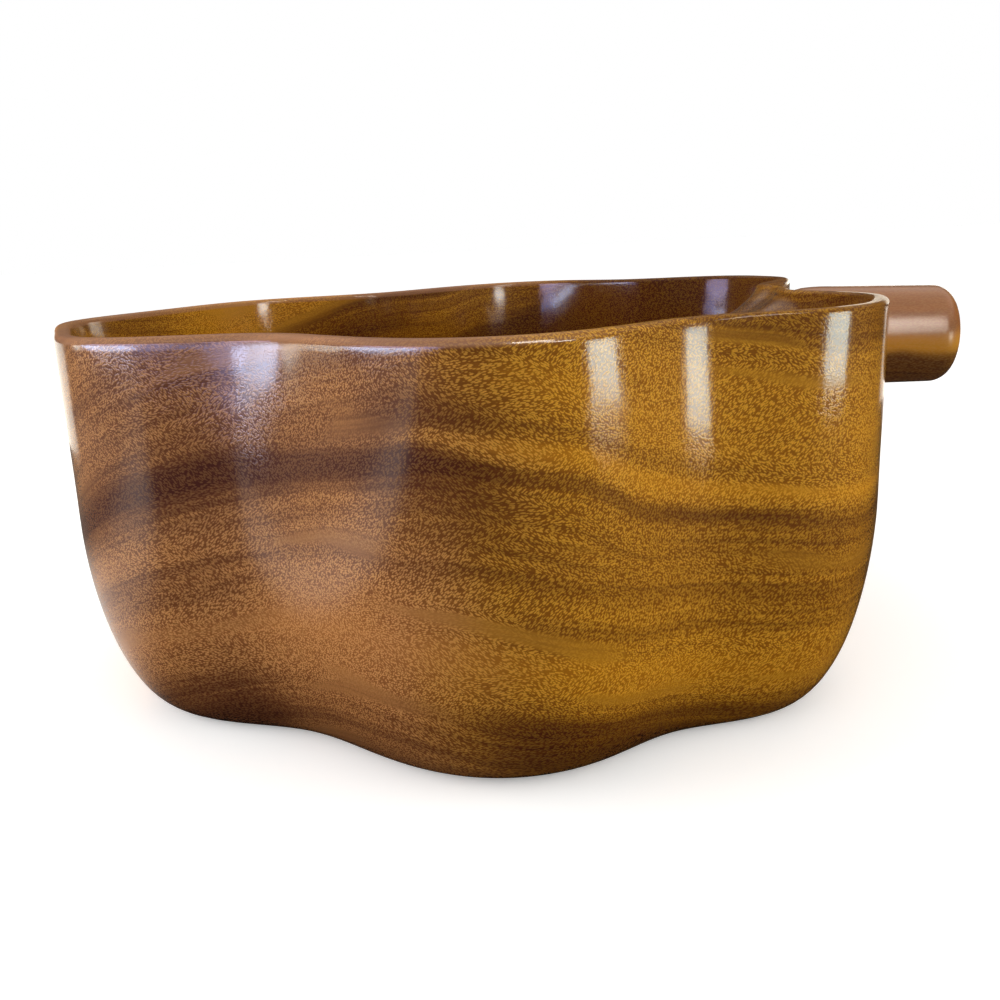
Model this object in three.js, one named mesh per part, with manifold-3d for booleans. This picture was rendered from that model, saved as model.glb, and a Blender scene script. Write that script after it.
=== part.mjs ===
// A deep wooden serving bowl in the shape of a lobed leaf, with a short round stem as its handle.
// Millimetres, +Z up. The origin is the centre of the flat foot, and the leaf's stem points along +X.
// The bowl is one carved shell. The stem is turned, and is glued to the notch of the leaf over a hidden dowel.

import * as THREE from 'three';
import { mergeVertices } from 'three/addons/utils/BufferGeometryUtils.js';
import Module from 'manifold-3d';

const wasm = await Module();
wasm.setup();

// Leaf outline at the rim, seen from above: a round core that swells out into a lobe in each of these directions.
// A reach is how far a lobe swells past the core, and a spread is its half width in degrees.
// A fullness of 2 gives a round lobe, a lower one gives a pointed lobe and a higher one a blunt lobe.
const CORE_RADIUS = 92.3;
const TIP_REACH = 60.4;
const TIP_SPREAD = 33.7;
const TIP_FULLNESS = 1.85;
const SHOULDER_DIRECTION = 140;
const SHOULDER_REACH = 32.7;
const SHOULDER_SPREAD = 19.8;
const SIDE_LOBE_DIRECTION = 79.3;
const SIDE_LOBE_REACH = 56.8;
const SIDE_LOBE_SPREAD = 31.5;
const SIDE_LOBE_FULLNESS = 2.06;
const BASE_LOBE_DIRECTION = 31.6;
const BASE_LOBE_REACH = 59.6;
const BASE_LOBE_SPREAD = 21.3;
const BASE_LOBE_FULLNESS = 2.78;
const STEM_SEAT_REACH = 26;
const STEM_SEAT_SPREAD = 10;
const ROUND_FULLNESS = 2;

// Wall: the lobes fade towards the foot while the core widens, and the wall turns under in a large round.
const RIM_HEIGHT = 130;
const LOBE_FADE = 0.34;
const CORE_WIDENING = 19.9;
const FOOT_ROUND_HEIGHT = 67;
const FOOT_ROUND_INSET = 23.8;

// Hollow: the wall is thin at the rim and thickens steadily below it, and the floor meets it in a larger round.
const RIM_THICKNESS = 5.4;
const WALL_THICKENING = 3;
const FLOOR_THICKNESS = 11;
const HOLLOW_ROUND_HEIGHT = 72;
const HOLLOW_ROUND_INSET = 36;
const INNER_EDGE_ROUND = 1.5;

// Outer edge of the rim: rounded by hand, softer in the notch and crisper at the tip and beside the base lobes.
// Each change of its radius is largest in one direction, and its spread is in degrees.
const OUTER_EDGE_ROUND = 2.2;
const OUTER_EDGE_CHANGES = [
  { direction: 0, change: 2, spread: 12 },
  { direction: 49, change: -1.3, spread: 12 },
  { direction: 180, change: -1.2, spread: 14 },
];

// Boss: inside the notch the wall swells into the hollow, which gives the dowel its depth of wood.
const BOSS_DEPTH = 21;
const BOSS_SPREAD = 12;
const BOSS_FULLNESS = 4;
const BOSS_HALF_HEIGHT = 20;

// Stem handle: a round stem that stands out of the notch, its top just below the rim. It is a little slimmer
// towards its end and at its neck, and droops slightly.
const STEM_DIAMETER = 37.2;
const STEM_END_DIAMETER = 36;
const STEM_LENGTH = 59.5;
const STEM_TOP_BELOW_RIM = 0.6;
const STEM_DROOP = 1.2;
const STEM_NECK_DEPTH = 1.2;
const STEM_NECK_LENGTH = 10;
const STEM_END_ROUND = 7;
const STEM_END_CROWN = 2;
const GLUE_GAP = 0.3;

// Dowel: a plain round peg with chamfered ends, in a blind hole on each side of the glue line.
const DOWEL_DIAMETER = 12;
const DOWEL_DEPTH_IN_BOWL = 15;
const DOWEL_DEPTH_IN_STEM = 28;
const DOWEL_CHAMFER = 1.5;
const DOWEL_CLEARANCE = 0.3;
const DOWEL_END_CLEARANCE = 1;

// Fineness of the faceted surfaces.
const SIDES_ROUND_LEAF = 108;
const STEPS_IN_FOOT_ROUND = 6;
const STEPS_IN_WALL = 6;
const STEPS_IN_EDGE = 3;
const STEPS_IN_HOLLOW_ROUND = 7;
const SIDES_ROUND_STEM = 40;
const STEPS_IN_STEM_END = 5;
const STEPS_IN_STEM_NECK = 3;
const SIDES_ROUND_DOWEL = 24;
const TANGENT_STEP = 0.002;

const LOBES = [
  lobe(180, TIP_REACH, TIP_SPREAD, TIP_FULLNESS),
  ...mirroredLobes(SHOULDER_DIRECTION, SHOULDER_REACH, SHOULDER_SPREAD, ROUND_FULLNESS),
  ...mirroredLobes(SIDE_LOBE_DIRECTION, SIDE_LOBE_REACH, SIDE_LOBE_SPREAD, SIDE_LOBE_FULLNESS),
  ...mirroredLobes(BASE_LOBE_DIRECTION, BASE_LOBE_REACH, BASE_LOBE_SPREAD, BASE_LOBE_FULLNESS),
  lobe(0, STEM_SEAT_REACH, STEM_SEAT_SPREAD, ROUND_FULLNESS),
];

// One lobe of the outline, with its angles in radians.
function lobe(direction, reach, spread, fullness) {
  return {
    direction: THREE.MathUtils.degToRad(direction),
    reach,
    spread: THREE.MathUtils.degToRad(spread),
    fullness,
  };
}

// The same lobe on both sides of the leaf.
function mirroredLobes(direction, reach, spread, fullness) {
  return [lobe(direction, reach, spread, fullness), lobe(-direction, reach, spread, fullness)];
}

// Smallest angle between two directions.
function angleBetween(a, b) {
  return Math.abs(Math.atan2(Math.sin(a - b), Math.cos(a - b)));
}

// Distance of the leaf's outline from the centre, in a direction and at a height, before the wall turns under.
function outlineRadius(angle, height) {
  const depth = (RIM_HEIGHT - height) / RIM_HEIGHT;
  const swelling = LOBES.reduce((sum, { direction, reach, spread, fullness }) => {
    const away = angleBetween(angle, direction) / spread;
    return sum + reach * Math.exp(-(away ** fullness));
  }, 0);
  return CORE_RADIUS + CORE_WIDENING * depth + swelling * (1 - LOBE_FADE * depth);
}

// Point of the outline, moved straight towards the centre by the amount drawn in.
function outlinePoint(angle, height, drawnIn = 0) {
  const radius = outlineRadius(angle, height) - drawnIn;
  return new THREE.Vector3(radius * Math.cos(angle), radius * Math.sin(angle), height);
}

// Point of the outline moved into the wood by an inset square to it, and then drawn in towards the centre.
function insetPoint(angle, height, inset, drawnIn = 0) {
  const point = outlinePoint(angle, height, drawnIn);
  const before = outlinePoint(angle - TANGENT_STEP, height);
  const after = outlinePoint(angle + TANGENT_STEP, height);
  const tangent = after.sub(before).normalize();
  return point.add(new THREE.Vector3(-tangent.y, tangent.x, 0).multiplyScalar(inset));
}

// Thickness of the wall, square to the outline, with the boss inside the notch at the height of the stem.
function wallThickness(angle, height) {
  const offAxis = Math.min(Math.abs(height - STEM_AXIS_HEIGHT) / BOSS_HALF_HEIGHT, 1);
  const level = 0.5 + 0.5 * Math.cos(Math.PI * offAxis);
  const sideways = angleBetween(angle, 0) / THREE.MathUtils.degToRad(BOSS_SPREAD);
  const wall = RIM_THICKNESS + (WALL_THICKENING * (RIM_HEIGHT - height)) / RIM_HEIGHT;
  return wall + BOSS_DEPTH * level * Math.exp(-(sideways ** BOSS_FULLNESS));
}

const STEM_RADIUS = STEM_DIAMETER / 2;
const STEM_AXIS_HEIGHT = RIM_HEIGHT - STEM_TOP_BELOW_RIM - STEM_RADIUS;
const SEAT_X = outlineRadius(0, STEM_AXIS_HEIGHT);

// Values from 0 to 1 in equal steps, both ends included.
function fractions(steps) {
  return Array.from({ length: steps + 1 }, (_, i) => i / steps);
}

// One closed ring of points round the leaf.
function leafRing(place) {
  return Array.from({ length: SIDES_ROUND_LEAF }, (_, i) => place((2 * Math.PI * i) / SIDES_ROUND_LEAF));
}

// Radius of the rim's outer edge in a direction.
function outerEdgeRound(angle) {
  const away = THREE.MathUtils.radToDeg(angleBetween(angle, 0));
  return OUTER_EDGE_CHANGES.reduce((radius, { direction, change, spread }) => {
    const share = (away - direction) / spread;
    return radius + change * Math.exp(-(share ** 2));
  }, OUTER_EDGE_ROUND);
}

// Rings of the quarter round that turns the outside of the wall under to the flat foot, from the foot up.
function footRoundRings(outset) {
  return fractions(STEPS_IN_FOOT_ROUND).map((part) => {
    const turn = (part * Math.PI) / 2;
    const height = FOOT_ROUND_HEIGHT * (1 - Math.cos(turn));
    const drawnIn = FOOT_ROUND_INSET * (1 - Math.sin(turn));
    return leafRing((angle) => insetPoint(angle, height, -outset, drawnIn));
  });
}

// Rings of the outside of the wall, from the foot's round up to the rounded edge of the rim.
function outerWallRings(outset) {
  return fractions(STEPS_IN_WALL).slice(1).map((part) => leafRing((angle) => {
    const height = THREE.MathUtils.lerp(FOOT_ROUND_HEIGHT, RIM_HEIGHT - outerEdgeRound(angle), part);
    return insetPoint(angle, height, -outset);
  }));
}

// Rings of the rounded outer edge of the rim, above the wall.
function outerEdgeRings(outset) {
  return fractions(STEPS_IN_EDGE).slice(1).map((part) => leafRing((angle) => {
    const turn = (part * Math.PI) / 2;
    const round = outerEdgeRound(angle);
    const height = RIM_HEIGHT - round + (round + outset) * Math.sin(turn);
    return insetPoint(angle, height, round - (round + outset) * Math.cos(turn));
  }));
}

// Rings of the whole outer surface from the foot to the top of the rim, grown by an outset.
function outerSurfaceRings(outset) {
  return [...footRoundRings(outset), ...outerWallRings(outset), ...outerEdgeRings(outset)];
}

// Rings of the rounded inner edge of the rim, from the top down.
function innerEdgeRings() {
  return fractions(STEPS_IN_EDGE).map((part) => {
    const turn = (part * Math.PI) / 2;
    const height = RIM_HEIGHT - INNER_EDGE_ROUND * (1 - Math.cos(turn));
    const rounding = INNER_EDGE_ROUND * (1 - Math.sin(turn));
    return leafRing((angle) => insetPoint(angle, height, wallThickness(angle, height) - rounding));
  });
}

// Rings of the inside of the wall, down to the round that meets the floor.
function innerWallRings() {
  const top = RIM_HEIGHT - INNER_EDGE_ROUND;
  const bottom = FLOOR_THICKNESS + HOLLOW_ROUND_HEIGHT;
  return fractions(STEPS_IN_WALL).slice(1).map((part) => {
    const height = THREE.MathUtils.lerp(top, bottom, part);
    return leafRing((angle) => insetPoint(angle, height, wallThickness(angle, height)));
  });
}

// Rings of the large round between the wall and the floor of the hollow, from the top down.
function hollowRoundRings() {
  return fractions(STEPS_IN_HOLLOW_ROUND).slice(1).map((part) => {
    const turn = (part * Math.PI) / 2;
    const height = FLOOR_THICKNESS + HOLLOW_ROUND_HEIGHT * (1 - Math.sin(turn));
    const drawnIn = HOLLOW_ROUND_INSET * (1 - Math.cos(turn));
    return leafRing((angle) => insetPoint(angle, height, wallThickness(angle, height), drawnIn));
  });
}

// Closed surface through rings of equal count, whose first and last ring are filled in flat round the centre.
function ringSurface(rings) {
  const count = rings[0].length;
  const points = rings.flat();
  const triangles = [];
  for (let r = 0; r + 1 < rings.length; r += 1) {
    for (let i = 0; i < count; i += 1) {
      const here = r * count + i;
      const beside = r * count + ((i + 1) % count);
      triangles.push(here, beside, here + count, beside, beside + count, here + count);
    }
  }
  const first = points.length;
  const last = first + 1;
  const lastRing = (rings.length - 1) * count;
  points.push(new THREE.Vector3(0, 0, rings[0][0].z));
  points.push(new THREE.Vector3(0, 0, rings[rings.length - 1][0].z));
  for (let i = 0; i < count; i += 1) {
    const next = (i + 1) % count;
    triangles.push(first, next, i, last, lastRing + i, lastRing + next);
  }
  const geometry = new THREE.BufferGeometry().setFromPoints(points);
  geometry.setIndex(triangles);
  return geometry;
}

// Solid for joining and cutting, from a closed geometry.
function solidOf(geometry) {
  const bare = geometry.clone();
  bare.deleteAttribute('normal');
  bare.deleteAttribute('uv');
  const merged = mergeVertices(bare);
  const vertProperties = new Float32Array(merged.attributes.position.array);
  const triVerts = new Uint32Array(merged.index.array);
  return new wasm.Manifold(new wasm.Mesh({ numProp: 3, vertProperties, triVerts }));
}

// Geometry to draw, from a solid.
function geometryOf(solid) {
  const { vertProperties, triVerts } = solid.getMesh();
  const geometry = new THREE.BufferGeometry();
  geometry.setAttribute('position', new THREE.BufferAttribute(vertProperties, 3));
  geometry.setIndex(new THREE.BufferAttribute(triVerts, 1));
  geometry.computeVertexNormals();
  return geometry;
}

// Body turned about the stem's axis. Its profile is a list of [distance out from the seat, radius] that starts
// and ends on the axis.
function turnedAboutStemAxis(profile, sides) {
  const outline = profile.map(([along, radius]) => new THREE.Vector2(radius, along));
  return new THREE.LatheGeometry(outline, sides)
    .rotateZ(-Math.PI / 2)
    .rotateY(THREE.MathUtils.degToRad(STEM_DROOP))
    .translate(SEAT_X, 0, STEM_AXIS_HEIGHT);
}

// The two blind holes for the dowel, as one plain plug across the glue line.
function dowelHoles() {
  const radius = DOWEL_DIAMETER / 2 + DOWEL_CLEARANCE;
  return solidOf(turnedAboutStemAxis([
    [-DOWEL_DEPTH_IN_BOWL, 0],
    [-DOWEL_DEPTH_IN_BOWL, radius],
    [DOWEL_DEPTH_IN_STEM, radius],
    [DOWEL_DEPTH_IN_STEM, 0],
  ], SIDES_ROUND_DOWEL));
}

// Carved shell: foot, outside, rim, inside and floor, with the dowel's blind hole in the notch.
function bowlGeometry() {
  const shell = ringSurface([
    ...outerSurfaceRings(0),
    ...innerEdgeRings(),
    ...innerWallRings(),
    ...hollowRoundRings(),
  ]);
  return geometryOf(solidOf(shell).subtract(dowelHoles()));
}

// Everything inside the bowl's outer surface, grown by the glue gap.
function bowlEnvelope() {
  return solidOf(ringSurface(outerSurfaceRings(GLUE_GAP)));
}

// Profile of the turned stem from its root inside the bowl to its end, with a soft neck and a rounded end.
function stemProfile() {
  const endRadius = STEM_END_DIAMETER / 2;
  const faceRadius = endRadius - STEM_END_ROUND;
  const roundStart = STEM_LENGTH - STEM_END_CROWN - STEM_END_ROUND;
  const neck = fractions(STEPS_IN_STEM_NECK).map((part) => {
    const turn = (part * Math.PI) / 2;
    return [STEM_NECK_LENGTH * (1 - Math.cos(turn)), STEM_RADIUS - STEM_NECK_DEPTH * (1 - Math.sin(turn))];
  });
  const rounding = fractions(STEPS_IN_STEM_END).map((part) => {
    const turn = (part * Math.PI) / 2;
    return [roundStart + STEM_END_ROUND * Math.sin(turn), faceRadius + STEM_END_ROUND * Math.cos(turn)];
  });
  const rootRadius = STEM_RADIUS - STEM_NECK_DEPTH;
  return [[-STEM_RADIUS, 0], [-STEM_RADIUS, rootRadius], ...neck, ...rounding, [STEM_LENGTH, 0]];
}

// Stem, its root cut to the surface of the notch and bored for the dowel.
function stemGeometry() {
  const blank = solidOf(turnedAboutStemAxis(stemProfile(), SIDES_ROUND_STEM));
  return geometryOf(blank.subtract(bowlEnvelope()).subtract(dowelHoles()));
}

// Dowel, short of the bottom of each hole.
function dowelGeometry() {
  const from = DOWEL_END_CLEARANCE - DOWEL_DEPTH_IN_BOWL;
  const to = DOWEL_DEPTH_IN_STEM - DOWEL_END_CLEARANCE;
  const radius = DOWEL_DIAMETER / 2;
  return turnedAboutStemAxis([
    [from, 0],
    [from, radius - DOWEL_CHAMFER],
    [from + DOWEL_CHAMFER, radius],
    [to - DOWEL_CHAMFER, radius],
    [to, radius - DOWEL_CHAMFER],
    [to, 0],
  ], SIDES_ROUND_DOWEL);
}

// Named mesh with its own material.
function piece(name, geometry, color, roughness) {
  const material = new THREE.MeshStandardMaterial({ color, roughness, metalness: 0 });
  const mesh = new THREE.Mesh(geometry, material);
  mesh.name = name;
  return mesh;
}

const group = new THREE.Group();
group.add(piece('bowl_body', bowlGeometry(), 0x8f5b26, 0.28));
group.add(piece('stem_handle', stemGeometry(), 0x8a5222, 0.3));
group.add(piece('handle_dowel', dowelGeometry(), 0xcaa877, 0.7));

export default group;
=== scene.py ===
# A carved wooden leaf bowl with a round stem handle, lacquered, on a plain pale floor.
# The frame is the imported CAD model. Metres, +Z up, with the origin at the centre of the bowl's foot.

import math

import bmesh
import bpy
import numpy as np
from mathutils import Matrix, Vector


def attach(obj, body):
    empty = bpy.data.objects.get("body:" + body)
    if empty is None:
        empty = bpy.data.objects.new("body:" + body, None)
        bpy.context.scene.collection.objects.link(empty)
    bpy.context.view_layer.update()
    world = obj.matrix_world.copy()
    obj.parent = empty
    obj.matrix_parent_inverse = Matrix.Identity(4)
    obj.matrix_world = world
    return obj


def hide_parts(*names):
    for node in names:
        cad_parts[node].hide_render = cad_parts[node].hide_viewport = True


MM = 0.001

# Leaf outline at the rim: a round core and its lobes, as (direction, reach, spread, fullness), in mm and
# degrees.
RIM_HEIGHT = 130
CORE_RADIUS = 92.3
CORE_WIDENING = 19.9
LOBE_FADE = 0.34
LOBES = (
    (180, 60.4, 33.7, 1.85),
    (140, 32.7, 19.8, 2),
    (-140, 32.7, 19.8, 2),
    (79.3, 56.8, 31.5, 2.06),
    (-79.3, 56.8, 31.5, 2.06),
    (31.6, 59.6, 21.3, 2.78),
    (-31.6, 59.6, 21.3, 2.78),
    (0, 26, 10, 2),
)

# Wall and hollow, in mm. The changes of the outer edge are (centre in degrees, change, spread in degrees).
FOOT_ROUND_HEIGHT = 67
FOOT_ROUND_INSET = 23.8
RIM_THICKNESS = 5.4
WALL_THICKENING = 3
FLOOR_THICKNESS = 11
HOLLOW_ROUND_HEIGHT = 72
HOLLOW_ROUND_INSET = 36
INNER_EDGE_ROUND = 1.5
OUTER_EDGE_ROUND = 2.2
OUTER_EDGE_CHANGES = ((0, 2, 12), (49, -1.3, 12), (180, -1.2, 14))

# Thickening of the wall behind the stem, in mm and degrees.
BOSS_DEPTH = 21
BOSS_SPREAD = 12
BOSS_FULLNESS = 4
BOSS_HALF_HEIGHT = 20

# Stem handle and its dowel, in mm and degrees.
STEM_RADIUS = 18.6
STEM_END_RADIUS = 18
STEM_LENGTH = 59.5
STEM_TOP_BELOW_RIM = 0.6
STEM_DROOP = 1.2
STEM_NECK_DEPTH = 1.2
STEM_NECK_LENGTH = 10
STEM_END_ROUND = 7
STEM_END_CROWN = 2
GLUE_GAP = 0.3
DOWEL_DEPTH_IN_BOWL = 15
DOWEL_DEPTH_IN_STEM = 28
DOWEL_HOLE_RADIUS = 6.3
STEM_AXIS_HEIGHT = RIM_HEIGHT - STEM_TOP_BELOW_RIM - STEM_RADIUS

# The fine surfaces lie this far inside the CAD's, in mm, so that they never leave its box.
SKIN_INSET = 0.05

# Carver's unevenness of the outside: (depth in mm, waves round the leaf, wave length down the wall, phase),
# and the heights over which it fades out at the rim and the foot.
UNEVENNESS = (
    (0.030, 17, 61, 0.4),
    (0.020, 23, 43, 1.9),
    (0.012, 31, 37, 3.3),
    (0.008, 41, 29, 5.0),
)
UNEVENNESS_BELOW_RIM = 3
UNEVENNESS_FADES = 12

# The hollow opens out a little towards the rim: depth and length of this curve, in mm, and where it is left
# out, as a direction and a spread in degrees.
FLARE_DEPTH = 2.2
FLARE_LENGTH = 20
FLARE_FLAT = (60, 12)

# Fineness of the meshes. The tangent step is in radians, and edges sharper than the angle in degrees stay
# crisp.
SIDES_ROUND_LEAF = 540
STEPS_IN_FOOT_ROUND = 26
STEPS_IN_WALL = 30
STEPS_IN_EDGE = 8
STEPS_IN_HOLLOW_ROUND = 26
STEPS_ON_FLOOR = 12
SIDES_ROUND_STEM = 128
STEPS_IN_STEM = 24
STEPS_IN_STEM_END = 12
STEPS_ON_STEM_FACE = 6
TANGENT_STEP = 0.002
HALVINGS = 40
SHARP_EDGE_ANGLE = 40


def angle_between(a, b):
    return np.abs(np.arctan2(np.sin(a - b), np.cos(a - b)))


def outline_radius(angle, height):
    """Distance of the outline from the centre, in mm, before the wall turns under."""
    depth = (RIM_HEIGHT - height) / RIM_HEIGHT
    swelling = sum(
        reach * np.exp(-(angle_between(angle, math.radians(direction)) / math.radians(spread)) ** fullness)
        for direction, reach, spread, fullness in LOBES
    )
    return CORE_RADIUS + CORE_WIDENING * depth + swelling * (1 - LOBE_FADE * depth)


def outline_point(angle, height, drawn_in=0.0):
    radius = outline_radius(angle, height) - drawn_in
    return np.stack([radius * np.cos(angle), radius * np.sin(angle)], axis=-1)


def inset_point(angle, height, inset, drawn_in=0.0):
    """Point of the outline moved into the wood, square to the outline, and drawn in towards the centre."""
    before = outline_point(angle - TANGENT_STEP, height)
    after = outline_point(angle + TANGENT_STEP, height)
    tangent = (after - before) / np.linalg.norm(after - before, axis=-1, keepdims=True)
    inwards = np.stack([-tangent[..., 1], tangent[..., 0]], axis=-1)
    point = outline_point(angle, height, drawn_in) + inwards * np.asarray(inset)[..., None]
    return np.concatenate([point, np.broadcast_to(height, angle.shape)[..., None]], axis=-1)


def wall_thickness(angle, height):
    """Thickness of the wall in mm, with its thickening behind the stem."""
    off_axis = np.minimum(np.abs(height - STEM_AXIS_HEIGHT) / BOSS_HALF_HEIGHT, 1)
    level = 0.5 + 0.5 * np.cos(math.pi * off_axis)
    sideways = angle_between(angle, 0) / math.radians(BOSS_SPREAD)
    wall = RIM_THICKNESS + WALL_THICKENING * (RIM_HEIGHT - height) / RIM_HEIGHT
    return wall + BOSS_DEPTH * level * np.exp(-(sideways ** BOSS_FULLNESS))


def outer_edge_round(angle):
    """Radius in mm of the rounding on the outside of the rim."""
    away = np.degrees(angle_between(angle, 0))
    changes = (
        change * np.exp(-(((away - centre) / spread) ** 2))
        for centre, change, spread in OUTER_EDGE_CHANGES
    )
    return OUTER_EDGE_ROUND + sum(changes)


def unevenness(angle, height):
    """Depth of the carver's hollows in the outside wall, in mm, fading out at the rim and the foot."""
    waves = sum(
        size * (1 + np.sin(count * angle + 2 * math.pi * height / length + phase))
        for size, count, length, phase in UNEVENNESS
    )
    below_rim = np.clip((RIM_HEIGHT - UNEVENNESS_BELOW_RIM - height) / UNEVENNESS_FADES, 0, 1)
    return waves * (below_rim * np.clip(height / UNEVENNESS_FADES, 0, 1))


def outer_rings(angle):
    """Rings of the outside from the foot up to the top of the rim."""
    rings = []
    for turn in np.linspace(0, math.pi / 2, STEPS_IN_FOOT_ROUND + 1):
        height = FOOT_ROUND_HEIGHT * (1 - math.cos(turn))
        inset = SKIN_INSET + unevenness(angle, height)
        rings.append(inset_point(angle, height, inset, FOOT_ROUND_INSET * (1 - math.sin(turn))))
    edge = outer_edge_round(angle)
    for part in np.linspace(0, 1, STEPS_IN_WALL + 1)[1:]:
        height = FOOT_ROUND_HEIGHT + (RIM_HEIGHT - edge - FOOT_ROUND_HEIGHT) * part
        rings.append(inset_point(angle, height, SKIN_INSET + unevenness(angle, height)))
    for turn in np.linspace(0, math.pi / 2, STEPS_IN_EDGE + 1)[1:]:
        height = RIM_HEIGHT - edge * (1 - math.sin(turn))
        rings.append(inset_point(angle, height, SKIN_INSET + edge * (1 - math.cos(turn))))
    return rings


def flare(angle, height):
    """How far the hollow stands in from the CAD's, in mm, so that its wall opens out at the top."""
    below_edge = RIM_HEIGHT - INNER_EDGE_ROUND - height
    fading = np.clip((height - FLOOR_THICKNESS) / HOLLOW_ROUND_HEIGHT, 0, 1)
    flat_place, flat_spread = FLARE_FLAT
    flat = np.exp(-((angle_between(angle, math.radians(flat_place)) / math.radians(flat_spread)) ** 2))
    return FLARE_DEPTH * (1 - flat) * (1 - np.exp(-np.maximum(below_edge, 0) / FLARE_LENGTH)) * fading


def inner_rings(angle):
    """Rings of the inside from the top of the rim down to the floor, and across it."""
    rings = []
    for turn in np.linspace(0, math.pi / 2, STEPS_IN_EDGE + 1):
        height = RIM_HEIGHT - INNER_EDGE_ROUND * (1 - math.cos(turn))
        inset = wall_thickness(angle, height) - INNER_EDGE_ROUND * (1 - math.sin(turn))
        rings.append(inset_point(angle, height, inset))
    bottom = FLOOR_THICKNESS + HOLLOW_ROUND_HEIGHT
    for height in np.linspace(RIM_HEIGHT - INNER_EDGE_ROUND, bottom, STEPS_IN_WALL + 1)[1:]:
        rings.append(inset_point(angle, height, wall_thickness(angle, height) + flare(angle, height)))
    for turn in np.linspace(0, math.pi / 2, STEPS_IN_HOLLOW_ROUND + 1)[1:]:
        height = FLOOR_THICKNESS + HOLLOW_ROUND_HEIGHT * (1 - math.sin(turn))
        inset = wall_thickness(angle, height) + flare(angle, height)
        rings.append(inset_point(angle, height, inset, HOLLOW_ROUND_INSET * (1 - math.cos(turn))))
    return rings + shrinking_rings(rings[-1])


def shrinking_rings(ring):
    """Copies of a flat ring that shrink towards the centre."""
    shares = np.linspace(1, 0, STEPS_ON_FLOOR + 1)[1:-1]
    return [ring * np.array([share, share, 1]) for share in shares]


def new_object(name, data):
    obj = bpy.data.objects.new(name, data)
    bpy.context.scene.collection.objects.link(obj)
    return obj


def ring_mesh(name, rings):
    """Closed mesh through rings of points in mm, its first and last ring filled round their centres."""
    count = len(rings[0])
    points = np.concatenate(rings + [rings[0].mean(axis=0)[None], rings[-1].mean(axis=0)[None]]) * MM
    first = len(rings) * count
    last = first + 1
    faces = []
    for r in range(len(rings) - 1):
        for i in range(count):
            j = (i + 1) % count
            faces.append((r * count + i, r * count + j, (r + 1) * count + j, (r + 1) * count + i))
    top = (len(rings) - 1) * count
    for i in range(count):
        j = (i + 1) % count
        faces.append((first, j, i))
        faces.append((last, top + i, top + j))
    mesh = bpy.data.meshes.new(name)
    mesh.from_pydata([tuple(p) for p in points], [], faces)
    mesh.validate()
    return new_object(name, mesh)


def smooth_shade(obj):
    """Smooth shading, with sharp edges kept crisp."""
    obj.data.shade_smooth()
    edges = bmesh.new()
    edges.from_mesh(obj.data)
    for edge in edges.edges:
        if len(edge.link_faces) == 2 and edge.calc_face_angle(0) > math.radians(SHARP_EDGE_ANGLE):
            edge.smooth = False
    edges.to_mesh(obj.data)
    edges.free()


# Where the stem's axis meets the leaf's outline, in mm.
SEAT_X = float(outline_radius(np.array(0.0), STEM_AXIS_HEIGHT))


def stem_place(along, radius, turn):
    """Point of the stem in mm, from its distance out from the seat, its radius and its turn."""
    droop = math.radians(STEM_DROOP)
    side, up = radius * np.sin(turn), radius * np.cos(turn)
    x = SEAT_X + along * math.cos(droop) + up * math.sin(droop)
    z = STEM_AXIS_HEIGHT - along * math.sin(droop) + up * math.cos(droop)
    return np.stack(np.broadcast_arrays(x, side, z), axis=-1)


def stem_ring(along, radius, turn):
    """Flat ring across the stem at one distance out from the seat."""
    return stem_place(np.full(turn.shape, along), radius, turn)


def stem_radius_at(along):
    """Radius of the stem's side, with its soft neck and its taper, before its rounded end."""
    side_end = STEM_LENGTH - STEM_END_CROWN - STEM_END_ROUND
    share = np.clip((along - STEM_NECK_LENGTH) / (side_end - STEM_NECK_LENGTH), 0, 1)
    taper = STEM_RADIUS + (STEM_END_RADIUS - STEM_RADIUS) * share
    in_neck = np.clip(1 - along / STEM_NECK_LENGTH, 0, 1)
    return taper - STEM_NECK_DEPTH * (1 - np.sqrt(1 - in_neck ** 2))


def envelope_radius(angle, height):
    """Distance of the bowl's outside from the centre, in mm, with its rounded edge and the glue gap."""
    edge = outer_edge_round(angle)
    above = np.clip(height - (RIM_HEIGHT - edge), 0, edge)
    radius = outline_radius(angle, np.minimum(height, RIM_HEIGHT))
    return radius - edge + np.sqrt(edge ** 2 - above ** 2) + GLUE_GAP


def root_along(radius, turn):
    """Where a line along the stem leaves the bowl's outside, as a distance out from the seat."""
    near, far = np.full(turn.shape, -STEM_RADIUS), np.full(turn.shape, STEM_RADIUS)
    for _ in range(HALVINGS):
        middle = (near + far) / 2
        point = stem_place(middle, radius, turn)
        angle = np.arctan2(point[..., 1], point[..., 0])
        outside = np.hypot(point[..., 0], point[..., 1]) > envelope_radius(angle, point[..., 2])
        near, far = np.where(outside, near, middle), np.where(outside, middle, far)
    return far


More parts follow.
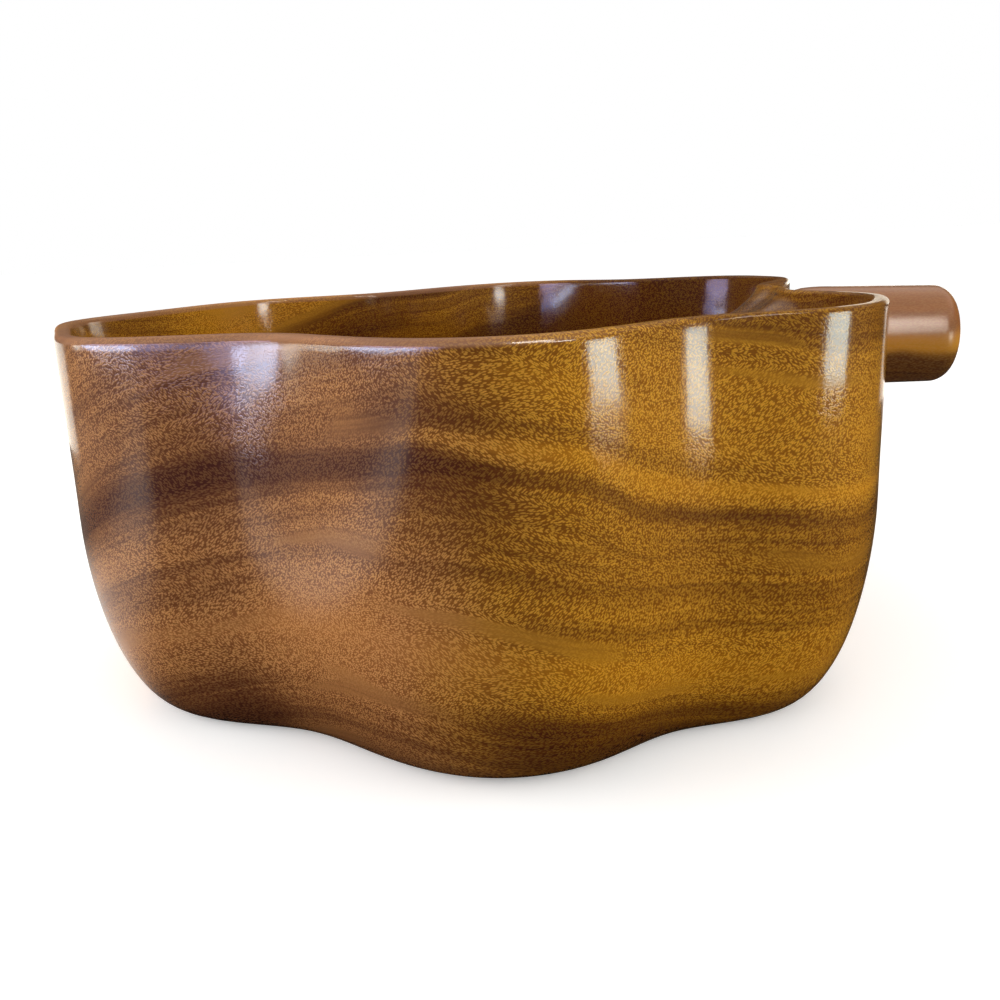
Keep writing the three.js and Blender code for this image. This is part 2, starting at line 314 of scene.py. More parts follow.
def stem_rings():
    """Rings of the stem: out of its bore, over its root, along its side and round its end."""
    turn = np.linspace(0, 2 * math.pi, SIDES_ROUND_STEM, endpoint=False)
    rings = [stem_ring(DOWEL_DEPTH_IN_STEM, DOWEL_HOLE_RADIUS, turn)]
    neck = STEM_RADIUS - STEM_NECK_DEPTH - SKIN_INSET
    for share in np.linspace(0, 1, STEPS_ON_STEM_FACE + 1):
        radius = DOWEL_HOLE_RADIUS + (neck - DOWEL_HOLE_RADIUS) * share
        rings.append(stem_place(root_along(radius, turn), radius, turn))
    root = root_along(neck, turn)
    side_end = STEM_LENGTH - STEM_END_CROWN - STEM_END_ROUND
    for share in np.linspace(0, 1, STEPS_IN_STEM + 1)[1:]:
        along = root + (side_end - root) * share
        rings.append(stem_place(along, stem_radius_at(along) - SKIN_INSET, turn))
    face = STEM_END_RADIUS - STEM_END_ROUND
    for part in np.linspace(0, math.pi / 2, STEPS_IN_STEM_END + 1)[1:]:
        along = side_end + STEM_END_ROUND * math.sin(part)
        rings.append(stem_ring(along, face + (STEM_END_ROUND - SKIN_INSET) * math.cos(part), turn))
    for share in np.linspace(1, 0, STEPS_ON_STEM_FACE + 1)[1:-1]:
        along = STEM_LENGTH - SKIN_INSET - STEM_END_CROWN * share ** 2
        rings.append(stem_ring(along, face * share, turn))
    return rings


def cut_away(obj, cutter):
    """Subtracts a closed mesh from an object, and removes the cutter."""
    modifier = obj.modifiers.new("hole", "BOOLEAN")
    modifier.operation = "DIFFERENCE"
    modifier.solver = "EXACT"
    modifier.object = cutter
    bpy.context.view_layer.update()
    evaluated = obj.evaluated_get(bpy.context.evaluated_depsgraph_get())
    mesh = bpy.data.meshes.new_from_object(evaluated)
    obj.modifiers.clear()
    obj.data = mesh
    bpy.data.objects.remove(cutter)


def make_bowl():
    """The carved bowl with the hole for the dowel."""
    angle = np.linspace(0, 2 * math.pi, SIDES_ROUND_LEAF, endpoint=False)
    outside = outer_rings(angle)
    under = shrinking_rings(outside[0])[::-1]
    bowl = ring_mesh("leaf_bowl", under + outside + inner_rings(angle))
    turn = np.linspace(0, 2 * math.pi, SIDES_ROUND_STEM, endpoint=False)
    ends = (-DOWEL_DEPTH_IN_BOWL, STEM_NECK_LENGTH)
    cutter = ring_mesh("dowel_hole", [stem_ring(end, DOWEL_HOLE_RADIUS, turn) for end in ends])
    cut_away(bowl, cutter)
    smooth_shade(bowl)
    return bowl


def make_stem():
    """The turned stem with its bore."""
    stem = ring_mesh("turned_stem", stem_rings())
    smooth_shade(stem)
    return stem


# Growth layers of the block. The layer height of a place, in mm, stays the same along one layer: it is the
# place's own height with a tilt, bend and turn along the leaf, a slope and twist across it, and slow waves.
# Along and across are counted in units of 100 mm, across from LAYER_FRONT_Y.
UNITS_PER_MM = 0.01
LAYER_TILT = 15.3
LAYER_BEND = 8.5
LAYER_TURN = -7.9
LAYER_SLOPE = 23.9
LAYER_TWIST = -11.8
LAYER_FRONT_Y = -1.2
LAYER_WAVE = 12.0
LAYER_WAVE_LENGTH = 70

# The upper layers rise by this much, in mm, over the middle of the leaf: where along it and in which layers.
LAYER_RISE = 6
RISE_STARTS = (-25, 0)
RISE_ENDS = (58, 38)
RISE_LAYERS = (70, 86)

# Lightness of the growth bands, as (layer height in mm, lightness from 0 to 1), on the left and the right,
# and where along the leaf the one changes to the other.
LAYER_TOP = 200
BANDS_LEFT = (
    (0, 0.15),
    (20, 0.20),
    (28, 0.42),
    (36, 0.60),
    (42, 0.74),
    (48, 0.56),
    (54, 0.43),
    (64, 0.30),
    (69, 0.40),
    (75, 0.45),
    (80, 0.34),
    (85, 0.20),
    (90, 0.05),
    (95, 0.10),
    (100, 0.26),
    (106, 0.36),
    (124, 0.34),
    (140, 0.30),
    (160, 0.12),
    (180, 0.24),
)
BANDS_RIGHT = (
    (0, 0.08),
    (24, 0.12),
    (32, 0.30),
    (37, 0.60),
    (42, 0.66),
    (48, 0.47),
    (56, 0.36),
    (62, 0.36),
    (65, 0.31),
    (70, 0.33),
    (76, 0.36),
    (84, 0.35),
    (88, 0.25),
    (92, 0.42),
    (96, 0.88),
    (100, 0.50),
    (108, 0.47),
    (114, 0.56),
    (124, 0.50),
    (136, 0.30),
    (152, 0.10),
    (168, 0.24),
    (188, 0.08),
)
BANDS_CHANGE = (30, -25)

# Lesser bands and fine lines between the layers: their length and height in mm, and their contrast.
BANDS_LENGTH = 140
BANDS_HEIGHT = 9
BANDS_CONTRAST = 0.75
LINES_HEIGHT = 1.3
LINES_CONTRAST = 0.40

# Back wall: its lightness by place along the leaf, slanting with height, and where across it starts. This is
# partly the wood's own dark band to the right and partly painted light and shade, lighter to the left.
BACK_FROM = (30, 80)
BACK_REACH = 150
BACK_SLANT = 2.2
BACK_HEIGHT = 115
BACK_TONE_AND_PAINTED_LIGHT = (
    (-150, 0.95),
    (-110, 0.92),
    (-85, 0.48),
    (-50, 0.38),
    (-20, 0.56),
    (10, 0.50),
    (35, 0.08),
    (75, 0.05),
    (100, 0.30),
)

# Painted shade in the middle of the front, where less light falls: where along the leaf, how far either way,
# where across it, in which layers, and by how much.
PAINTED_SHADE_MIDDLE = 2
PAINTED_SHADE_SPREAD = (28, 8)
PAINTED_SHADE_FRONT = (-60, -95)
PAINTED_SHADE_LAYERS = (66, 80)
PAINTED_SHADE_DEPTH = 0.15

# Painted light and shade on the lowest layers: darker near the tip and lighter beyond it, where the flank
# turns to the light. Where along the leaf, by how much, where this ends and in which layers.
LOW_PAINTED_LIGHT_ALONG = (-72, -45)
LOW_PAINTED_LIGHT_LIFTS = (-0.12, 0.18)
LOW_PAINTED_LIGHT_ENDS = (30, 0)
LOW_PAINTED_LIGHT_LAYERS = (70, 48)

# Flecks of the interlocked grain: size along and across in mm, and their outline in the pattern of spots.
FLECK_LENGTH = 1.2
FLECK_WIDTH = 0.42
FLECK_EDGE = (0.60, 0.36)

# Tilts of the flecks in degrees, the length and height in mm and the scale of the noise that makes bands of
# one tilt, and the values of this noise between which the tilt changes.
FLECK_TILTS = (38, -38, 8)
FLECK_BAND_LENGTH = 90
FLECK_BAND_HEIGHT = 19
FLECK_BAND_SCALE = 1.6
TILT_CHANGES = ((0.50, 0.53), (0.60, 0.63))

# Patches with few flecks: how long and high they are in mm, the share of fleck colour in them, where they
# start in their noise, and how strong the flecks are in dark and light wood.
PATCH_LENGTH = 60
PATCH_HEIGHT = 10
PATCH_FLECK_SHARE = 0.45
PATCH_STEP = (0.30, 0.42, 0.2, 1.0)
FLECK_STRENGTH = (0.08, 0.5, 0.18, 0.80)

# Reddish wood on the front left, golden elsewhere; the duller, pinker red is partly the wood's own tone and
# partly a painted reflection of the pale room on that side. Where along and across the leaf the colour
# changes, and how far and over what length this limit wanders, in mm.
RED_ALONG = (45, -20)
RED_ACROSS = (-30, -90)
RED_WANDERS = 50
RED_WANDER_LENGTH = 45
RED_DARK = (0.065, 0.012, 0.003, 1)
RED_LIGHT = (0.395, 0.152, 0.043, 1)
RED_FLECK = (0.70, 0.33, 0.105, 1)
GOLD_DARK = (0.075, 0.014, 0.001, 1)
GOLD_LIGHT = (0.540, 0.205, 0.003, 1)
GOLD_FLECK = (0.84, 0.42, 0.026, 1)

# The top of the rim has a painted sheen, paler towards the tip, and its lacquer is thin: heights and places
# in mm, and shares.
RIM_PAINTED_SHEEN = (0.50, 0.25, 0.14, 1)
RIM_PAINTED_SHEEN_HEIGHTS = (127.4, 128.4)
RIM_PAINTED_SHEEN_ALONG = (55, 10, 0.0, 0.5)
RIM_LACQUER = (128.4, 129.4, 1.0, 0.25)

# Bare wood and the lacquer over it. Bumps are (strength, distance in metres).
WOOD_ROUGHNESS = 0.5
WOOD_SPECULAR = 0.05
LACQUER_ROUGHNESS = 0.10
LACQUER_IOR = 1.5
GRAIN_BUMP = (0.35, 0.00012)
FILM_BUMP = (0.07, 0.00010)

# Lightness of the stem's wood from its underside to its top, as (height in mm, lightness).
STEM_LOW = 85
STEM_HIGH = 135
STEM_BANDS = (
    (90, 0.08),
    (99, 0.10),
    (105, 0.24),
    (108, 0.85),
    (114, 1.0),
    (118, 0.62),
    (122, 0.50),
    (130, 0.58),
)

# Waves, slope and fine lines of the stem's bands, with lengths in mm.
STEM_WAVE = 8
STEM_WAVE_LENGTH = 30
STEM_SLOPE = -0.12
STEM_LINES_SIZE = (40, 2.2, 1.4)
STEM_LINES_CONTRAST = 0.35

# The stem is golden low down and reddish on top: the heights of the change in mm, and the colours.
STEM_CHANGE = (110, 118)
STEM_LOW_DARK = (0.062, 0.016, 0.002, 1)
STEM_LOW_LIGHT = (0.540, 0.235, 0.012, 1)
STEM_TOP_DARK = (0.075, 0.020, 0.006, 1)
STEM_TOP_LIGHT = (0.500, 0.170, 0.030, 1)
STEM_FLECK = (0.58, 0.33, 0.09, 1)
STEM_FLECK_SHARE = 0.14
STEM_LACQUER_ROUGHNESS = 0.25
STEM_FILM_BUMP = (0.10, 0.0001)

# Bare wood of the dowel.
DOWEL_LINES_SCALE = (0.05, 1.2, 1.2)
DOWEL_LINES_STEP = (0.35, 0.65)
DOWEL_DARK = (0.50, 0.32, 0.17, 1)
DOWEL_LIGHT = (0.68, 0.50, 0.31, 1)
DOWEL_ROUGHNESS = 0.7
DOWEL_BUMP = (0.3, 0.0001)


class Tree:
    """Small helper that adds nodes to a material or the world and links them."""

    def __init__(self, owner):
        owner.use_nodes = True
        self.nodes = owner.node_tree.nodes
        self.links = owner.node_tree.links

    def add(self, kind, inputs=None, **settings):
        node = self.nodes.new(kind)
        for key, value in settings.items():
            setattr(node, key, value)
        for key, value in (inputs or {}).items():
            self.feed(node.inputs[key], value)
        return node

    def feed(self, socket, value):
        if isinstance(value, bpy.types.NodeSocket):
            self.links.new(value, socket)
        elif isinstance(value, bpy.types.Node):
            self.links.new(value.outputs[0], socket)
        else:
            socket.default_value = value

    def math(self, operation, a, b=0.0, c=0.0, clamp=False):
        inputs = {0: a, 1: b, 2: c}
        return self.add("ShaderNodeMath", inputs, operation=operation, use_clamp=clamp).outputs[0]

    def product(self, first, *others):
        for other in others:
            first = self.math("MULTIPLY", first, other)
        return first

    def centred(self, value):
        """A value from 0 to 1, moved so that its middle is 0."""
        return self.math("SUBTRACT", value, 0.5)

    def position(self):
        """Place on the object, in mm."""
        place = self.add("ShaderNodeTexCoord").outputs["Object"]
        inputs = {0: place, "Scale": 1 / MM}
        return self.add("ShaderNodeVectorMath", inputs, operation="SCALE").outputs[0]

    def parts(self, vector):
        return self.add("ShaderNodeSeparateXYZ", {0: vector}).outputs

    def combine(self, x, y, z):
        return self.add("ShaderNodeCombineXYZ", {0: x, 1: y, 2: z}).outputs[0]

    def stretched(self, parts, height, sizes):
        """Place along, across and up the layers, counted in units of the three sizes."""
        places = (parts[0], parts[1], height)
        return self.combine(*(self.math("MULTIPLY", place, 1 / size) for place, size in zip(places, sizes)))

    def noise(self, vector, scale=1.0, detail=1.0, roughness=0.5):
        inputs = {"Vector": vector, "Scale": scale, "Detail": detail, "Roughness": roughness}
        return self.add("ShaderNodeTexNoise", inputs, noise_dimensions="3D").outputs[0]

    def spots(self, vector):
        """Distance to the nearest of points scattered one to a unit of space."""
        return self.add("ShaderNodeTexVoronoi", {"Vector": vector, "Scale": 1.0}).outputs["Distance"]

    def step(self, value, low, high, out_low=0.0, out_high=1.0):
        """Smooth step of a value from one limit to another."""
        inputs = {"Value": value, "From Min": low, "From Max": high, "To Min": out_low, "To Max": out_high}
        return self.add("ShaderNodeMapRange", inputs, interpolation_type="SMOOTHSTEP").outputs[0]

    def mix(self, factor, a, b):
        """Colour between two colours."""
        node = self.add("ShaderNodeMix", data_type="RGBA", blend_type="MIX")
        self.feed(node.inputs[0], factor)
        self.feed(node.inputs[6], a)
        self.feed(node.inputs[7], b)
        return node.outputs[2]

    def lerp(self, factor, a, b):
        """Number between two numbers."""
        node = self.add("ShaderNodeMix", data_type="FLOAT")
        self.feed(node.inputs[0], factor)
        self.feed(node.inputs[2], a)
        self.feed(node.inputs[3], b)
        return node.outputs[0]

    def ramp(self, value, stops):
        """Grey ramp through (position, value) stops."""
        node = self.add("ShaderNodeValToRGB", {0: value})
        ramp = node.color_ramp
        ramp.interpolation = "CARDINAL"
        while len(ramp.elements) > 1:
            ramp.elements.remove(ramp.elements[0])
        ramp.elements[0].position = stops[0][0]
        ramp.elements[0].color = (*[stops[0][1]] * 3, 1)
        for position, level in stops[1:]:
            ramp.elements.new(position).color = (*[level] * 3, 1)
        return node.outputs[0]

    def bump(self, height, strength, distance):
        return self.add("ShaderNodeBump", {"Strength": strength, "Distance": distance, "Height": height})


def new_material(name):
    """A new material, the helper for its nodes, and its shader."""
    material = bpy.data.materials.new(name)
    tree = Tree(material)
    for node in list(tree.nodes):
        if node.type == "BSDF_PRINCIPLED":
            return material, tree, node
    raise RuntimeError("a new material has no shader")


def layer_height(tree, position, parts):
    """Height of the growth layer at a place, in mm, gently waved."""
    wave = tree.noise(position, scale=1 / LAYER_WAVE_LENGTH, detail=2, roughness=0.45)
    lift = tree.math("MULTIPLY", tree.centred(wave), LAYER_WAVE)
    x = tree.math("MULTIPLY", parts[0], UNITS_PER_MM)
    y = tree.math("SUBTRACT", tree.math("MULTIPLY", parts[1], UNITS_PER_MM), LAYER_FRONT_Y)
    bend = tree.math("MULTIPLY_ADD", x, LAYER_TURN, LAYER_BEND)
    tilt = tree.math("MULTIPLY_ADD", y, LAYER_TWIST, LAYER_TILT)
    along = tree.math("MULTIPLY", x, tree.math("MULTIPLY_ADD", x, bend, tilt))
    across = tree.math("MULTIPLY_ADD", y, LAYER_SLOPE, parts[2])
    return tree.math("ADD", tree.math("ADD", along, across), lift)


def fleck_spots(tree, position, tilt):
    """Pattern of spots drawn out along the grain, which is tilted by some degrees."""
    inputs = {
        "Vector": position,
        "Rotation": (0, math.radians(-tilt), 0),
        "Scale": (FLECK_LENGTH, FLECK_WIDTH, FLECK_WIDTH),
    }
    along_grain = tree.add("ShaderNodeMapping", inputs, vector_type="TEXTURE")
    return tree.spots(along_grain.outputs[0])


def fleck_field(tree, position, parts, layer):
    """Pattern of short flecks whose tilt changes from one band of layers to the next."""
    fields = [fleck_spots(tree, position, tilt) for tilt in FLECK_TILTS]
    place = tree.stretched(parts, layer, (FLECK_BAND_LENGTH, FLECK_BAND_LENGTH, FLECK_BAND_HEIGHT))
    band = tree.noise(place, scale=FLECK_BAND_SCALE, detail=1, roughness=0.4)
    field = fields[0]
    for change, other in zip(TILT_CHANGES, fields[1:]):
        field = tree.lerp(tree.step(band, *change), field, other)
    return field


def risen_layer(tree, parts, layer):
    """Layer height, lowered where the upper layers rise over the middle of the leaf."""
    along = tree.product(tree.step(parts[0], *RISE_STARTS), tree.step(parts[0], *RISE_ENDS))
    rise = tree.product(along, tree.step(layer, *RISE_LAYERS))
    return tree.math("MULTIPLY_ADD", rise, -LAYER_RISE, layer)


def broad_bands(tree, parts, layer):
    """Lightness of the broad growth bands, different on the left and the right."""
    share = tree.math("MULTIPLY", layer, 1 / LAYER_TOP)
    left, right = (
        tree.ramp(share, [(height / LAYER_TOP, level) for height, level in bands])
        for bands in (BANDS_LEFT, BANDS_RIGHT)
    )
    return tree.lerp(tree.step(parts[0], *BANDS_CHANGE), right, left)


def with_back_wall_tone_and_painted_light(tree, parts, light):
    """Lightness with the change along the back wall: partly the wood's own dark band, partly painted light
    and shade.
    """
    above = tree.math("SUBTRACT", parts[2], BACK_HEIGHT)
    slanted = tree.math("MULTIPLY_ADD", above, -BACK_SLANT, parts[0])
    share = tree.math("MULTIPLY_ADD", slanted, 0.5 / BACK_REACH, 0.5)
    stops = [(0.5 + 0.5 * x / BACK_REACH, level) for x, level in BACK_TONE_AND_PAINTED_LIGHT]
    # Painted light and shade, with the wood's own dark band: lighter to the left of the back wall, darker to
    # the right.
    change = tree.centred(tree.ramp(share, stops))
    return tree.math("MULTIPLY_ADD", tree.step(parts[1], *BACK_FROM), change, light)


def with_front_painted_light_and_shade(tree, parts, layer, light):
    """Lightness with painted shade in the middle of the front and painted light and shade on the lowest
    layers.
    """
    aside = tree.math("ABSOLUTE", tree.math("SUBTRACT", parts[0], PAINTED_SHADE_MIDDLE))
    middle = tree.product(tree.step(aside, *PAINTED_SHADE_SPREAD), tree.step(parts[1], *PAINTED_SHADE_FRONT))
    # Painted shade: the middle of the front is darkened where less light falls.
    painted_shade = tree.product(middle, tree.step(layer, *PAINTED_SHADE_LAYERS))
    light = tree.math("MULTIPLY_ADD", painted_shade, -PAINTED_SHADE_DEPTH, light)
    # Painted light and shade: the lowest layers are darker near the tip and lighter beyond it.
    low = tree.product(tree.step(parts[0], *LOW_PAINTED_LIGHT_ALONG, *LOW_PAINTED_LIGHT_LIFTS), tree.step(parts[0], *LOW_PAINTED_LIGHT_ENDS))
    return tree.math("MULTIPLY_ADD", low, tree.step(layer, *LOW_PAINTED_LIGHT_LAYERS), light)


def growth_lightness(tree, parts, layer):
    """Lightness of the wood from its growth bands, broad and fine, with painted light and shade on the back
    wall and the front.
    """
    layer = risen_layer(tree, parts, layer)
    light = with_back_wall_tone_and_painted_light(tree, parts, broad_bands(tree, parts, layer))
    light = with_front_painted_light_and_shade(tree, parts, layer, light)
    bands_place = tree.stretched(parts, layer, (BANDS_LENGTH, BANDS_LENGTH, BANDS_HEIGHT))
    lines_place = tree.stretched(parts, layer, (BANDS_LENGTH, BANDS_LENGTH, LINES_HEIGHT))
    bands = tree.noise(bands_place, detail=3, roughness=0.55)
    lines = tree.noise(lines_place, detail=2, roughness=0.6)
    bands = tree.math("MULTIPLY", tree.centred(bands), BANDS_CONTRAST)
    lines = tree.math("MULTIPLY", tree.centred(lines), LINES_CONTRAST)
    return tree.math("ADD", light, tree.math("ADD", bands, lines), clamp=True)


def carved_wood():
    """Lacquered hardwood with interlocked grain, reddish on the front left (partly a painted reflection) and
    golden elsewhere, with painted light and shade and a painted sheen on the rim.
    """
    material, tree, shader = new_material("carved_wood")
    position = tree.position()
    parts = tree.parts(position)
    layer = layer_height(tree, position, parts)
    light = growth_lightness(tree, parts, layer)

    wander = tree.centred(tree.noise(position, scale=1 / RED_WANDER_LENGTH, detail=2))
    limit = tree.math("MULTIPLY_ADD", wander, RED_WANDERS, parts[0])
    # Reddish tone on the front left: partly the wood's own, partly a painted reflection of the pale room on
    # that side.
    red_tone_and_painted_reflection = tree.product(tree.step(limit, *RED_ALONG), tree.step(parts[1], *RED_ACROSS))
    ground = tree.mix(red_tone_and_painted_reflection, tree.mix(light, GOLD_DARK, GOLD_LIGHT), tree.mix(light, RED_DARK, RED_LIGHT))

    fleck = tree.step(fleck_field(tree, position, parts, layer), *FLECK_EDGE)
    patch = tree.noise(tree.stretched(parts, layer, (PATCH_LENGTH, PATCH_LENGTH, PATCH_HEIGHT)), detail=1.5)
    amount = tree.lerp(tree.step(patch, *PATCH_STEP), PATCH_FLECK_SHARE, fleck)
    amount = tree.product(amount, tree.step(light, *FLECK_STRENGTH))
    color = tree.mix(amount, ground, tree.mix(red_tone_and_painted_reflection, GOLD_FLECK, RED_FLECK))

    # Painted sheen: the top of the rim is paler towards the tip.
    rim = tree.product(tree.step(parts[2], *RIM_PAINTED_SHEEN_HEIGHTS), tree.step(parts[0], *RIM_PAINTED_SHEEN_ALONG))
    tree.feed(shader.inputs["Base Color"], tree.mix(rim, color, RIM_PAINTED_SHEEN))
    tree.feed(shader.inputs["Coat Weight"], tree.step(parts[2], *RIM_LACQUER))
    shader.inputs["Roughness"].default_value = WOOD_ROUGHNESS
    shader.inputs["Specular IOR Level"].default_value = WOOD_SPECULAR
    shader.inputs["Coat Roughness"].default_value = LACQUER_ROUGHNESS
    shader.inputs["Coat IOR"].default_value = LACQUER_IOR
    tree.feed(shader.inputs["Normal"], tree.bump(fleck, *GRAIN_BUMP))
    tree.feed(shader.inputs["Coat Normal"], tree.bump(fleck, *FILM_BUMP))
    return material


def stem_wood():
    """Lacquered hardwood of the stem, in broad bands along it."""
    material, tree, shader = new_material("stem_wood")
    position = tree.position()
    parts = tree.parts(position)
    wave = tree.centred(tree.noise(position, scale=1 / STEM_WAVE_LENGTH, detail=2))
    height = tree.math("MULTIPLY_ADD", wave, STEM_WAVE, parts[2])
    height = tree.math("MULTIPLY_ADD", parts[1], STEM_SLOPE, height)
    stops = [((z - STEM_LOW) / (STEM_HIGH - STEM_LOW), level) for z, level in STEM_BANDS]
    broad = tree.ramp(tree.step(height, STEM_LOW, STEM_HIGH), stops)
    lines = tree.noise(tree.stretched(parts, height, STEM_LINES_SIZE), detail=3, roughness=0.6)
    light = tree.math("MULTIPLY_ADD", tree.centred(lines), STEM_LINES_CONTRAST, broad, clamp=True)
    low = tree.mix(light, STEM_LOW_DARK, STEM_LOW_LIGHT)
    top = tree.mix(light, STEM_TOP_DARK, STEM_TOP_LIGHT)
    ground = tree.mix(tree.step(height, *STEM_CHANGE), low, top)
    fleck = tree.step(fleck_spots(tree, position, 0), *FLECK_EDGE)
    color = tree.mix(tree.math("MULTIPLY", fleck, STEM_FLECK_SHARE), ground, STEM_FLECK)
    tree.feed(shader.inputs["Base Color"], color)
    shader.inputs["Roughness"].default_value = WOOD_ROUGHNESS
    shader.inputs["Specular IOR Level"].default_value = WOOD_SPECULAR
    shader.inputs["Coat Weight"].default_value = 1.0
    shader.inputs["Coat Roughness"].default_value = STEM_LACQUER_ROUGHNESS
    tree.feed(shader.inputs["Coat Normal"], tree.bump(fleck, *STEM_FILM_BUMP))
    return material


def dowel_wood():
    """Bare pale hardwood with fine lines along the dowel."""
    material, tree, shader = new_material("dowel_wood")
    inputs = {"Vector": tree.position(), "Scale": DOWEL_LINES_SCALE}
    drawn_out = tree.add("ShaderNodeMapping", inputs)
    lines = tree.noise(drawn_out.outputs[0], detail=3, roughness=0.6)
    color = tree.mix(tree.step(lines, *DOWEL_LINES_STEP), DOWEL_DARK, DOWEL_LIGHT)
    tree.feed(shader.inputs["Base Color"], color)
    shader.inputs["Roughness"].default_value = DOWEL_ROUGHNESS
    tree.feed(shader.inputs["Normal"], tree.bump(lines, *DOWEL_BUMP))
    return material


# Camera: at the photograph's viewing angle, just above the rim. Its place and where it starts to see are in
# metres, its angles in radians, and its sensor and lens in mm. Its pitch puts the level line at this row of a
# picture 1000 rows high.
PICTURE_HEIGHT = 1000
LEVEL_ROW = 236.78
SENSOR = 36
LENS = 36
CLIP_START = 0.01
CAMERA_PLACE = (0.03199, -0.3889, 0.15338)
CAMERA_YAW = 0.055
CAMERA_PITCH = math.atan((PICTURE_HEIGHT / 2 - LEVEL_ROW) / (PICTURE_HEIGHT * LENS / SENSOR))
CAMERA_ROLL = 0.052


def make_camera():
    data = bpy.data.cameras.new("camera")
    data.sensor_width = SENSOR
    data.lens = LENS
    data.clip_start = CLIP_START
    camera = new_object("camera", data)
    camera.matrix_world = (
        Matrix.Translation(CAMERA_PLACE)
        @ Matrix.Rotation(CAMERA_YAW, 4, "Z")
        @ Matrix.Rotation(math.pi / 2 - CAMERA_PITCH, 4, "X")
        @ Matrix.Rotation(-CAMERA_ROLL, 4, "Z")
    )
    bpy.context.scene.camera = camera


# Soft boxes round the bowl: (name, direction in degrees, distance, lowest height, width, tall, brightness,
# colour), in metres. Those named round are ellipses. The fill ones only light the wood, and the others only
# show in its gloss.
SOFT_BOXES = (
    ("round_left", 206, 0.90, 0.104, 0.68, 0.10, 15.0, (0.62, 0.72, 1.0)),
    ("round_cream", 181, 0.90, 0.094, 0.17, 0.07, 5.5, (1.0, 0.98, 0.90)),
    ("round_blue", 227, 0.90, 0.118, 0.40, 0.12, 6.0, (0.42, 0.52, 1.0)),
    ("round_inside", 215, 0.90, 0.25, 0.80, 0.12, 8.0, (0.62, 0.58, 1.0)),
    ("window_right", -33, 0.55, 0.042, 0.15, 0.08, 11.0, (0.84, 1.0, 0.95)),
    ("round_spot", -56, 0.57, 0.195, 0.16, 0.05, 19.0, (1.0, 1.0, 0.95)),
    ("window_high", -67, 1.20, 0.52, 0.55, 0.46, 14.0, (1.0, 0.96, 0.88)),
    ("back_right", 56, 0.80, 0.11, 0.24, 0.11, 3.6, (1.0, 0.92, 0.76)),
    ("edge_right", 45, 0.60, 0.0, 0.20, 0.09, 0.9, (1.0, 0.90, 0.78)),
    ("back_left", 140, 0.60, 0.0, 0.46, 0.12, 1.4, (1.0, 0.94, 0.82)),
    ("fill_left", 185, 0.90, 0.0, 0.70, 0.50, 5.9, (1.0, 0.97, 0.93)),
    ("fill_right", -12, 0.90, 0.0, 0.70, 0.50, 3.6, (1.0, 0.97, 0.90)),
)

# Sky above the bowl: how bright it is overhead and round the room, and where it starts, as the sine of the
# angle above level. The camera sees an even backdrop in its place.
SKY_OVERHEAD = 0.95
SKY_ROUND_THE_ROOM = 0.06
SKY_STARTS = (0.35, 0.6)
BACKDROP = 1.0
WHITE = (1, 1, 1, 1)

# Floor: its half size in metres, its colour and glow to the camera, and its colour where it throws light up.
FLOOR_HALF = 12.0
FLOOR_COLOR = (0.95, 0.95, 0.945, 1)
FLOOR_GLOW = 0.36
FLOOR_UNDER_BOWL = (0.56, 0.53, 0.50, 1)
FLOOR_ROUGHNESS = 0.9

# Floor as it shows in the gloss of the wood: dark in front, lit towards the back left from and to these
# distances in metres, and dim again far off.
FLOOR_DARK = (0.03, 0.028, 0.025, 1)
FLOOR_LIT = (0.90, 0.86, 0.84, 1)
FLOOR_LIT_FROM = (0.01, 0.11)
FLOOR_FADES = (0.13, 0.42)
FLOOR_FAR_SHARE = 0.08


def make_lights():
    for name, direction, distance, low, width, tall, brightness, color in SOFT_BOXES:
        lamp = bpy.data.lights.new(name, "AREA")
        lamp.shape = "ELLIPSE" if name.startswith("round") else "RECTANGLE"
        lamp.size = width
        lamp.size_y = tall
        lamp.energy = brightness * math.pi * width * tall * (math.pi / 4 if lamp.shape == "ELLIPSE" else 1)
        lamp.color = color
        box = new_object(name, lamp)
        box.visible_camera = False
        box.visible_glossy = not name.startswith("fill")
        box.visible_diffuse = name.startswith("fill")
        angle = math.radians(direction)
        box.location = (distance * math.cos(angle), distance * math.sin(angle), low + tall / 2)
        aim = Vector((0, 0, RIM_HEIGHT * MM)) - box.location
        box.rotation_euler = aim.to_track_quat("-Z", "Y").to_euler()


def make_world():
    """Sky light from above in a dim room, before an even pale backdrop."""
    world = bpy.data.worlds.new("studio")
    bpy.context.scene.world = world
    tree = Tree(world)
    output = next(node for node in tree.nodes if node.type == "OUTPUT_WORLD")
    backdrop = tree.add("ShaderNodeBackground", {"Color": WHITE, "Strength": BACKDROP})
    direction = tree.add("ShaderNodeTexCoord").outputs["Generated"]
    level = tree.step(tree.parts(direction)[2], *SKY_STARTS, SKY_ROUND_THE_ROOM, SKY_OVERHEAD)
    room = tree.add("ShaderNodeBackground", {"Color": WHITE, "Strength": level})
    seen = tree.add("ShaderNodeLightPath").outputs["Is Camera Ray"]
    both = tree.add("ShaderNodeMixShader", {0: seen, 1: room.outputs[0], 2: backdrop.outputs[0]})
    tree.feed(output.inputs["Surface"], both.outputs[0])


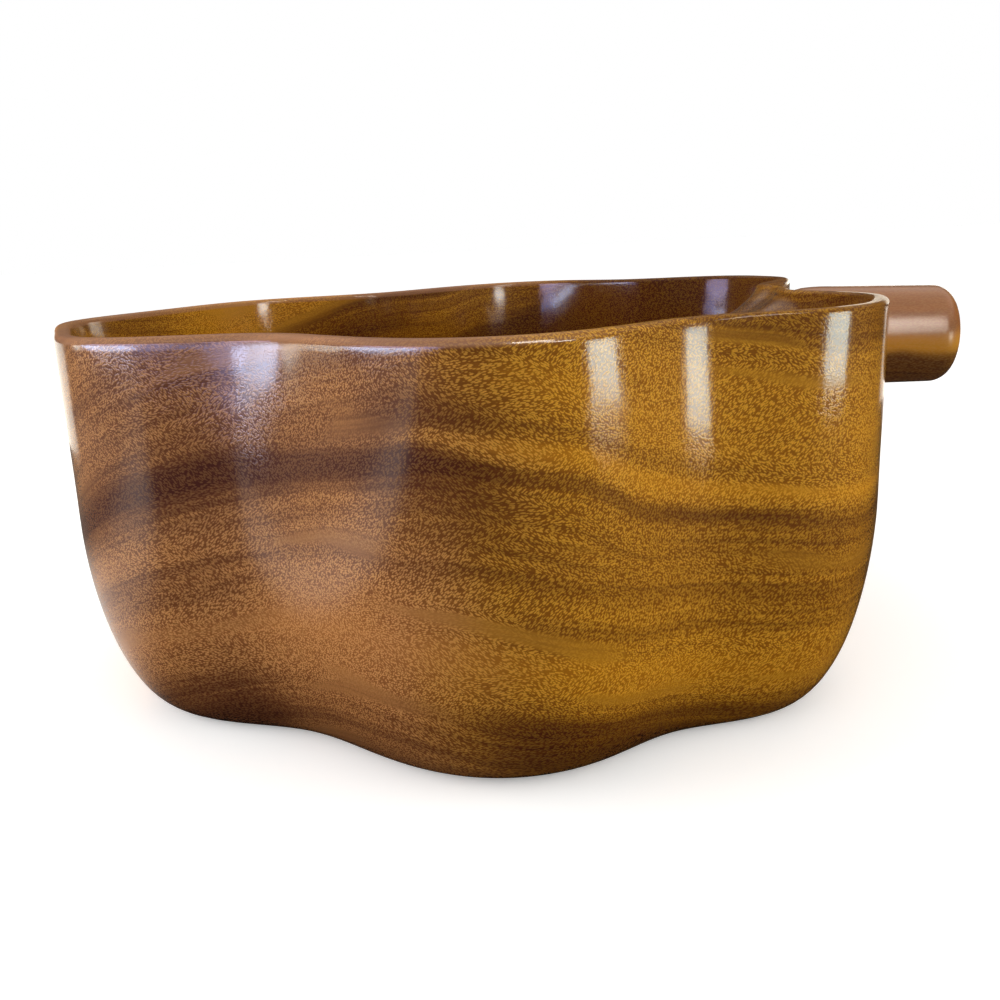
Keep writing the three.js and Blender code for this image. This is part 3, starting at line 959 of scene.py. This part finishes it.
def make_floor():
    """Pale floor, dimmer where it shows in the gloss of the wood or throws light up on it."""
    mesh = bpy.data.meshes.new("floor")
    corners = [(x * FLOOR_HALF, y * FLOOR_HALF, 0) for x, y in ((-1, -1), (1, -1), (1, 1), (-1, 1))]
    mesh.from_pydata(corners, [], [(0, 1, 2, 3)])
    floor = new_object("floor", mesh)
    material, tree, shader = new_material("pale_floor")
    rays = tree.add("ShaderNodeLightPath").outputs
    parts = tree.parts(tree.add("ShaderNodeTexCoord").outputs["Object"])
    back_left = tree.math("SUBTRACT", parts[1], parts[0])
    lit = tree.product(
        tree.step(back_left, *FLOOR_LIT_FROM), tree.step(back_left, *FLOOR_FADES, 1.0, FLOOR_FAR_SHARE)
    )
    in_gloss = tree.mix(lit, FLOOR_DARK, FLOOR_LIT)
    unseen = tree.mix(rays["Is Glossy Ray"], FLOOR_UNDER_BOWL, in_gloss)
    seen = rays["Is Camera Ray"]
    tree.feed(shader.inputs["Base Color"], tree.mix(seen, unseen, FLOOR_COLOR))
    shader.inputs["Emission Color"].default_value = FLOOR_COLOR
    tree.feed(shader.inputs["Emission Strength"], tree.math("MULTIPLY", seen, FLOOR_GLOW))
    shader.inputs["Roughness"].default_value = FLOOR_ROUGHNESS
    shader.inputs["Specular IOR Level"].default_value = 0.0
    floor.data.materials.append(material)
    return floor


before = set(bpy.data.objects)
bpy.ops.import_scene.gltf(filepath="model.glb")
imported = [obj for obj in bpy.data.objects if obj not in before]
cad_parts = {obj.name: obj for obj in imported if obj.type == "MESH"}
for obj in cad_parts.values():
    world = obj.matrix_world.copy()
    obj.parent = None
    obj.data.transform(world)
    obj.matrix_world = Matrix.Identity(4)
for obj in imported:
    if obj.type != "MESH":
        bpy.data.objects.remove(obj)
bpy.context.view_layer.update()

bowl = make_bowl()
bowl.data.materials.append(carved_wood())
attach(bowl, "root")
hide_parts("bowl_body")

stem = make_stem()
stem.data.materials.append(stem_wood())
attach(stem, "root")
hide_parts("stem_handle")

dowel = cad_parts["handle_dowel"]
dowel.data.materials.clear()
dowel.data.materials.append(dowel_wood())

make_floor()
make_lights()
make_world()
make_camera()
bpy.context.scene.view_settings.view_transform = "Standard"
